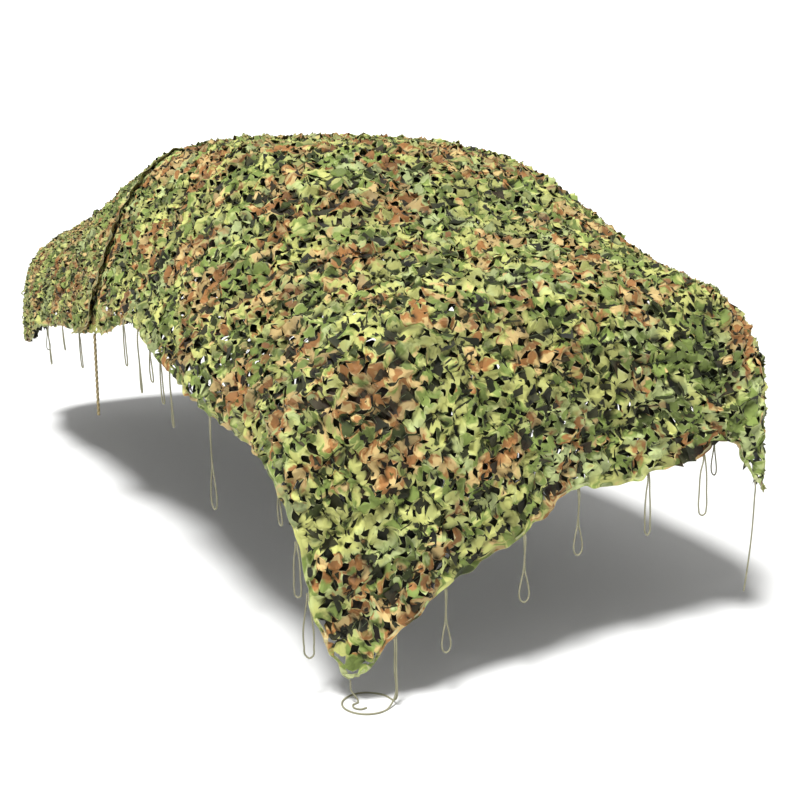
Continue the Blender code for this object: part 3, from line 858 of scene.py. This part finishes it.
def smooth_line(route, step):
    """Points at even steps along a smooth line through a route, and its length."""
    route = np.array(route)
    reach = np.linalg.norm(np.diff(route, axis=0), axis=1)
    slope = np.gradient(route, np.append(0.0, np.cumsum(reach)), axis=0)
    t = np.linspace(0.0, 1.0, LINE_STEPS, endpoint=False)[:, None]
    fine = []
    for a, b, leave, arrive, long in zip(route, route[1:], slope, slope[1:], reach):
        fine.append(
            (2 * t ** 3 - 3 * t ** 2 + 1) * a + (t ** 3 - 2 * t ** 2 + t) * leave * long
            + (3 * t ** 2 - 2 * t ** 3) * b + (t ** 3 - t ** 2) * arrive * long
        )
    fine = np.vstack([*fine, route[-1:]])
    far = np.append(0.0, np.cumsum(np.linalg.norm(np.diff(fine, axis=0), axis=1)))
    even = np.linspace(0.0, far[-1], max(2, round(far[-1] / step) + 1))
    return np.stack([np.interp(even, far, fine[:, axis]) for axis in range(3)], axis=1), far[-1]


def new_curve(name, points, closed=False):
    """A curve object of one straight-jointed spline."""
    curve = bpy.data.curves.new(name, "CURVE")
    curve.dimensions = "3D"
    spline = curve.splines.new("POLY")
    spline.points.add(len(points) - 1)
    spline.use_cyclic_u = closed
    for point, place in zip(spline.points, points):
        point.co = (*place, 1.0)
    return placed(name, curve)


def laid_cord(name, line, radius, lay, sides, groove):
    """Mesh of a cord of three laid strands along a line."""
    turns = [math.tau * number / sides for number in range(sides)]
    reach = [radius * (1.0 - groove * (1.0 - math.cos(STRANDS * turn)) / 2.0) for turn in turns]
    outline = [(r * math.cos(turn), r * math.sin(turn), 0.0) for r, turn in zip(reach, turns)]
    section = new_curve(name + "_section", outline, closed=True)
    run = new_curve(name + "_run", line)
    run.data.bevel_mode = "OBJECT"
    run.data.bevel_object = section
    run.data.use_fill_caps = True
    step = float(np.linalg.norm(line[1] - line[0]))
    for number, point in enumerate(run.data.splines[0].points):
        point.tilt = math.tau * number * step / lay
    bpy.context.view_layer.update()
    graph = bpy.context.evaluated_depsgraph_get()
    mesh = bpy.data.meshes.new_from_object(run.evaluated_get(graph))
    mesh.name = name
    mesh.shade_smooth()
    mesh.set_sharp_from_angle(angle=CORD_CREASE)
    for thing in (run, section):
        curve = thing.data
        bpy.data.objects.remove(thing, do_unlink=True)
        bpy.data.curves.remove(curve)
    return mesh


def knotted_mesh(node, pitch, twine):
    """The open mesh of thin cord that a panel's cloth is tied to, just inside the cloth."""
    sheet = even_quads(outer_skin(node), pitch, PANELS[node]["asked"], node + "_knots")
    bm = opened(sheet.data)
    bm.normal_update()
    for vert in bm.verts:
        vert.co -= vert.normal * MESH_DEPTH
    outline = [vert for vert in bm.verts if vert.is_boundary]
    bmesh.ops.delete(bm, geom=outline, context="VERTS")
    bmesh.ops.wireframe(
        bm, faces=bm.faces[:], thickness=twine, offset=0.0, use_replace=True, use_boundary=True,
        use_even_offset=True,
    )
    mesh = mesh_from(bm, node + "_knotted")
    bpy.data.objects.remove(sheet, do_unlink=True)
    mesh.shade_smooth()
    mesh.set_sharp_from_angle(angle=CREASE)
    return mesh


def new_piece(name, mesh, material, node):
    """A finished piece that rides on the part in the place of a CAD node."""
    piece = placed(name, mesh)
    mesh.materials.clear()
    mesh.materials.append(material)
    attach(piece, ROOT)
    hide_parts(node)
    return piece


def part_of(mesh, name, wanted, kind):
    """A copy of a mesh with only the faces of the wanted cells, of the cloth or of the painted shade
    leaves behind it.
    """
    bm = opened(mesh)
    cell_of = bm.faces.layers.int["cell"]
    shade_leaf = bm.faces.layers.int["shade_leaf"]
    spare = [face for face in bm.faces if face[shade_leaf] != kind or not wanted[face[cell_of]]]
    bmesh.ops.delete(bm, geom=spare, context="FACES")
    part = mesh_from(bm, name)
    part.shade_smooth()
    part.set_sharp_from_angle(angle=CREASE)
    return part


class Socket:
    """A socket that takes part in arithmetic."""

    def __init__(self, paint, out):
        self.paint = paint
        self.out = out

    def math(self, operation, *values):
        return self.paint.node("ShaderNodeMath", {"operation": operation}, values)

    def __add__(self, other):
        return self.math("ADD", self, other)

    def __sub__(self, other):
        return self.math("SUBTRACT", self, other)

    def __rsub__(self, other):
        return self.math("SUBTRACT", other, self)

    def __mul__(self, other):
        return self.math("MULTIPLY", self, other)

    def __truediv__(self, other):
        return self.math("DIVIDE", self, other)

    __radd__ = __add__
    __rmul__ = __mul__


class Paint:
    """Builds one material's nodes."""

    def __init__(self, name):
        self.material = bpy.data.materials.new(name)
        self.material.use_nodes = True
        self.tree = self.material.node_tree
        self.shader = self.tree.nodes["Principled BSDF"]

    def node(self, kind, settings=None, inputs=(), out=0):
        """A node of a kind, its settings first, then its inputs by number or name."""
        made = self.tree.nodes.new(kind)
        for key, value in (settings or {}).items():
            setattr(made, key, value)
        pairs = inputs.items() if isinstance(inputs, dict) else enumerate(inputs)
        for key, value in pairs:
            self.feed(made.inputs[key], value)
        return Socket(self, made.outputs[out])

    def feed(self, socket, value):
        """Link a socket, or set its number."""
        if isinstance(value, Socket):
            self.tree.links.new(value.out, socket)
        else:
            socket.default_value = value

    def noise(self, where, scale, detail=2.0, roughness=0.5):
        """Noise from 0 to 1."""
        inputs = {"Vector": where, "Scale": scale, "Detail": detail, "Roughness": roughness}
        return self.node("ShaderNodeTexNoise", {}, inputs)

    def edge(self, value, at, soft):
        """0 below a level and 1 above it."""
        inputs = {"Value": value, "From Min": at - soft, "From Max": at + soft}
        return self.node("ShaderNodeMapRange", {"interpolation_type": "SMOOTHSTEP"}, inputs)

    def mix(self, share, first, second):
        """Mix of two colours."""
        inputs = {0: share, 6: first, 7: second}
        return self.node("ShaderNodeMix", {"data_type": "RGBA"}, inputs, out=2)

    def scaled(self, colour, value):
        """A colour times a number."""
        return self.node("ShaderNodeVectorMath", {"operation": "SCALE"}, {0: colour, "Scale": value})

    def shifted(self, where, move):
        """A place moved by a fixed vector."""
        return self.node("ShaderNodeVectorMath", {"operation": "ADD"}, (where, move))

    def patch(self, here, name, shift):
        """1 within one colour's patches of the print, and 0 outside them."""
        place, axis, scale, detail, level, soft = PATCHES[name]
        move = list(place)
        move[axis] += shift
        return self.edge(self.noise(self.shifted(here, move), scale, detail), level, soft)

    def bump(self, height, strength, distance):
        """A bump normal."""
        inputs = {"Strength": strength, "Distance": distance, "Height": height}
        return self.node("ShaderNodeBump", {}, inputs)

    def finish(self, **values):
        """Set the shader's own sockets."""
        for key, value in values.items():
            self.feed(self.shader.inputs[key.replace("_", " ").title()], value)
        return self.material


def opaque(colour):
    """A colour with full alpha."""
    return (*colour, 1.0)


def printed_cloth(name, colours, shift, shade):
    """Woodland print on thin plain-woven cloth, each leaf in its own tone from shade on, with painted
    shade where the cloth lies low or leans inwards and on the leaves behind the holes, and cut edges
    lightened by fraying and a painted highlight.
    """
    paint = Paint(name)
    here = paint.node("ShaderNodeTexCoord", out=3)
    leaf, rise, rim, tape = (
        paint.node("ShaderNodeAttribute", {"attribute_name": kind}, out=2)
        for kind in ("leaf", "rise", "rim", "tape")
    )
    here = paint.shifted(here, paint.scaled(LEAF_SHIFT, leaf))
    fray = paint.node("ShaderNodeTexNoise", {}, {"Vector": here, "Scale": FRAY_SCALE}, out=1)
    here = paint.shifted(here, paint.scaled(fray, FRAY))
    pale = paint.mix(paint.patch(here, "sage", shift), opaque(colours.light), opaque(colours.sage))
    earth = paint.mix(paint.patch(here, "tan", shift), opaque(colours.brown), opaque(colours.tan))
    tones = {"mid": opaque(colours.mid), "brown": earth}
    tones.update({name: opaque(getattr(colours, name)) for name in ("dark", "black")})
    colour = pale
    for name, tone in tones.items():
        colour = paint.mix(paint.patch(here, name, shift), colour, tone)
    colour = paint.mix(paint.edge(tape, *TAPE_EDGE), colour, opaque(colours.tape))
    # painted shade where the cloth lies low, leans inwards or lies behind the holes
    painted_recess_shade = paint.node(
        "ShaderNodeMapRange", {"interpolation_type": "SMOOTHSTEP"}, {"Value": rise, **RECESS_PAINTED_SHADE},
    )
    tone_and_painted_shade = (leaf * LEAF_TONE + shade) * painted_recess_shade
    # cut edges lightened by their fraying and a painted highlight, less in the painted shade
    fray_and_highlight = rim * rim * rim
    fray_and_highlight = fray_and_highlight * fray_and_highlight * EDGE_FRAY_AND_HIGHLIGHT * painted_recess_shade
    colour = paint.mix(fray_and_highlight, paint.scaled(colour, tone_and_painted_shade), opaque(colours.edge_fray_highlight))
    cloth = paint.node("ShaderNodeUVMap", {"uv_map": "cloth"})
    warp, weft = (
        paint.node(
            "ShaderNodeTexWave", {"wave_type": "BANDS", "bands_direction": axis},
            {"Vector": cloth, **WEAVE},
        )
        for axis in "XY"
    )
    creases = paint.noise(here, CREASE_SCALE, 3.0)
    height = warp * WEAVE_HEIGHT + weft * WEAVE_HEIGHT + creases
    paint.shader.inputs["Specular IOR Level"].default_value = CLOTH_SHEEN
    return paint.finish(
        base_color=colour, roughness=leaf * LEAF_ROUGHNESS + CLOTH_ROUGHNESS,
        normal=paint.bump(height, *CLOTH_BUMP),
    )


def cord_yarn(name, colour):
    """Matt laid yarn."""
    paint = Paint(name)
    here = paint.node("ShaderNodeTexCoord", out=3)
    dirt = paint.noise(here, DIRT_SCALE, 3.0)
    shade = paint.scaled(tuple(colour), dirt * DIRT + DIRT_FROM)
    fibres = paint.noise(here, FIBRE_SCALE, 2.0)
    return paint.finish(
        base_color=shade, roughness=YARN_ROUGHNESS, normal=paint.bump(fibres, *YARN_BUMP),
    )


class NET_OT_cut_cloth(bpy.types.Operator):
    """Cut both panels' cloth into leaves, with plain turned hems"""
    bl_idname = "net.cut_cloth"
    bl_label = "Cut Cloth"

    def execute(self, context):
        sizes = context.scene.net_sizes
        colours = context.scene.net_colours
        front_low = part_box("front_panel")[0].y
        top = opened(outer_skin("front_panel"))
        cover = {"main_net": BVHTree.FromBMesh(top), "front_panel": None}
        top.free()
        flared = {"main_net": -math.inf, "front_panel": front_low + FLARE_LENGTH}
        for node, facts in PANELS.items():
            sheet = even_quads(outer_skin(node), sizes.pitch, facts["asked"], node + "_cells")
            mesh, middle = cut_cloth(
                sheet, sizes.pitch, facts["seed"], sizes.lift, cover[node], flared[node],
            )
            turn_hem(mesh, sizes.hem_turn)
            shift = facts["seed"] * SEED_SHIFT
            material = printed_cloth(node + "_print", colours, shift, facts["shade"])
            everywhere = np.ones(len(middle), bool)
            # the dark leaves behind the holes, painted shade seen through the gaps
            name = node + "_shade_leaves"
            shade_leaf = new_piece(name, part_of(mesh, name, everywhere, 1), material, node)
            borders = np.quantile(middle[:, 1], [number / PIECES for number in range(1, PIECES)])
            side = np.searchsorted(borders, middle[:, 1])
            for number in range(PIECES):
                wanted = side == number
                name = f"{node}_cloth_{number + 1}"
                piece = new_piece(name, part_of(mesh, name, wanted, 0), material, node)
            bpy.data.objects.remove(sheet, do_unlink=True)
        return {"FINISHED"}


class NET_OT_base_mesh(bpy.types.Operator):
    """Knot the open mesh that both panels' cloth is tied to"""
    bl_idname = "net.base_mesh"
    bl_label = "Base Mesh"

    def execute(self, context):
        sizes = context.scene.net_sizes
        yarn = cord_yarn("mesh_twine", context.scene.net_colours.twine)
        for node in PANELS:
            mesh = knotted_mesh(node, sizes.mesh_pitch, sizes.twine)
            new_piece(node + "_mesh", mesh, yarn, node)
        return {"FINISHED"}


class NET_OT_ties(bpy.types.Operator):
    """Hang every tie from its hem, as laid cord"""
    bl_idname = "net.ties"
    bl_label = "Ties"

    def execute(self, context):
        yarn = cord_yarn("tie_yarn", context.scene.net_colours.cord)
        middle = (CAD_BOX[0] + CAD_BOX[1]) / 2
        for node in sorted(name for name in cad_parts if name.startswith("tie_")):
            route = cord_route(node)
            free = node in FREE_TIES
            tucked = [route[0]] if free else [route[0], route[-1]]
            tucks = []
            for end in tucked:
                inward = Vector((middle.x - end.x, middle.y - end.y, 0.0)).normalized()
                tucks.append(end + inward * TIE_BEHIND + Vector((0.0, 0.0, TIE_TUCK)))
            route = [tucks[0], *route, *tucks[1:]]
            for at in route:
                at.z = max(at.z, GROUND_Z + TIE_RADIUS)
            line, length = smooth_line(route, TIE_STEP)
            mesh = laid_cord(node + "_cord", line, TIE_RADIUS, TIE_LAY, TIE_SIDES, TIE_GROOVE)
            piece = new_piece(node + "_cord", mesh, yarn, node)
        return {"FINISHED"}


class NET_OT_lap_cord(bpy.types.Operator):
    """Hang the thick twisted cord at the lap"""
    bl_idname = "net.lap_cord"
    bl_label = "Lap Cord"

    def execute(self, context):
        yarn = cord_yarn("lap_yarn", context.scene.net_colours.lap_cord)
        low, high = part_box("lap_cord")
        middle = (low + high) / 2
        route = [(middle.x, middle.y, level) for level in (high.z, middle.z, low.z)]
        line, length = smooth_line(route, LAP_STEP)
        mesh = laid_cord("lap_cord_rope", line, LAP_RADIUS, LAP_LAY, LAP_SIDES, LAP_GROOVE)
        piece = new_piece("lap_cord_rope", mesh, yarn, "lap_cord")
        return {"FINISHED"}


class NET_OT_stage(bpy.types.Operator):
    """Set the pale floor, the soft studio lights and the camera"""
    bl_idname = "net.stage"
    bl_label = "Stage"

    def execute(self, context):
        bm = bmesh.new()
        profile = [(0.0, 0.0), (FLOOR_REACH, 0.0)]
        for step in range(1, BEND_STEPS + 1):
            turn = math.pi / 2 * step / BEND_STEPS
            out = FLOOR_REACH + WALL_BEND * math.sin(turn)
            profile.append((out, WALL_BEND * (1.0 - math.cos(turn))))
        profile.append((FLOOR_REACH + WALL_BEND, WALL_BEND + WALL_RISE))
        corners = [bm.verts.new((out, 0.0, GROUND_Z + up)) for out, up in profile]
        edges = [bm.edges.new(pair) for pair in zip(corners, corners[1:])]
        bmesh.ops.spin(
            bm, geom=corners + edges, cent=(0.0, 0.0, 0.0), axis=(0.0, 0.0, 1.0), angle=math.tau,
            steps=FLOOR_SIDES, use_merge=True,
        )
        bmesh.ops.remove_doubles(bm, verts=bm.verts[:], dist=10 * MERGE)
        bmesh.ops.recalc_face_normals(bm, faces=bm.faces[:])
        if max(bm.faces, key=lambda face: face.calc_area()).normal.z < 0.0:
            bmesh.ops.reverse_faces(bm, faces=bm.faces[:])
        mesh = mesh_from(bm, "floor")
        mesh.shade_smooth()
        floor = placed("floor", mesh)
        paint = Paint("pale_floor")
        mesh.materials.append(
            paint.finish(base_color=opaque(FLOOR_COLOUR), roughness=FLOOR_ROUGHNESS)
        )
        world = bpy.data.worlds.new("studio")
        world.use_nodes = True
        back = world.node_tree.nodes["Background"]
        back.inputs["Color"].default_value = (1.0, 1.0, 1.0, 1.0)
        back.inputs["Strength"].default_value = FILL
        context.scene.world = world
        context.scene.view_settings.view_transform = "Standard"
        lamp = bpy.data.lights.new("key", "SUN")
        lamp.energy = KEY
        lamp.angle = math.radians(KEY_SPREAD)
        light = placed("key", lamp)
        light.location = KEY_FROM
        light.rotation_euler = Vector(KEY_FROM).to_track_quat("Z", "Y").to_euler()
        lens = bpy.data.cameras.new("view")
        lens.sensor_width = SENSOR_WIDTH
        lens.lens = FOCAL_PIXELS * SENSOR_WIDTH / PHOTO_WIDTH
        camera = placed("view", lens)
        camera.location = CAMERA_PLACE
        camera.rotation_euler = (CAMERA_TILT, 0.0, CAMERA_TURN)
        context.scene.camera = camera
        return {"FINISHED"}


class NET_PT_panel(bpy.types.Panel):
    """Sizes, colours and the steps that make the net"""
    bl_label = "Camouflage Net"
    bl_idname = "NET_PT_panel"
    bl_space_type = "VIEW_3D"
    bl_region_type = "UI"
    bl_category = "Net"

    def draw(self, context):
        for group in (context.scene.net_sizes, context.scene.net_colours):
            for name in group.__annotations__:
                self.layout.prop(group, name)
        for step in STEPS:
            self.layout.operator(step.bl_idname)


STEPS = (NET_OT_stage, NET_OT_cut_cloth, NET_OT_base_mesh, NET_OT_ties, NET_OT_lap_cord)
CLASSES = (NetSizes, NetColours, *STEPS, NET_PT_panel)


def register():
    """Register the classes and the scene's settings."""
    for cls in CLASSES:
        bpy.utils.register_class(cls)
    bpy.types.Scene.net_sizes = PointerProperty(type=NetSizes)
    bpy.types.Scene.net_colours = PointerProperty(type=NetColours)


def unregister():
    """Remove the settings and the classes."""
    del bpy.types.Scene.net_colours
    del bpy.types.Scene.net_sizes
    for cls in reversed(CLASSES):
        bpy.utils.unregister_class(cls)


def main():
    """Make every piece."""
    register()
    bpy.ops.net.stage()
    bpy.ops.net.cut_cloth()
    bpy.ops.net.base_mesh()
    bpy.ops.net.ties()
    bpy.ops.net.lap_cord()


if __name__ == "__main__":
    main()
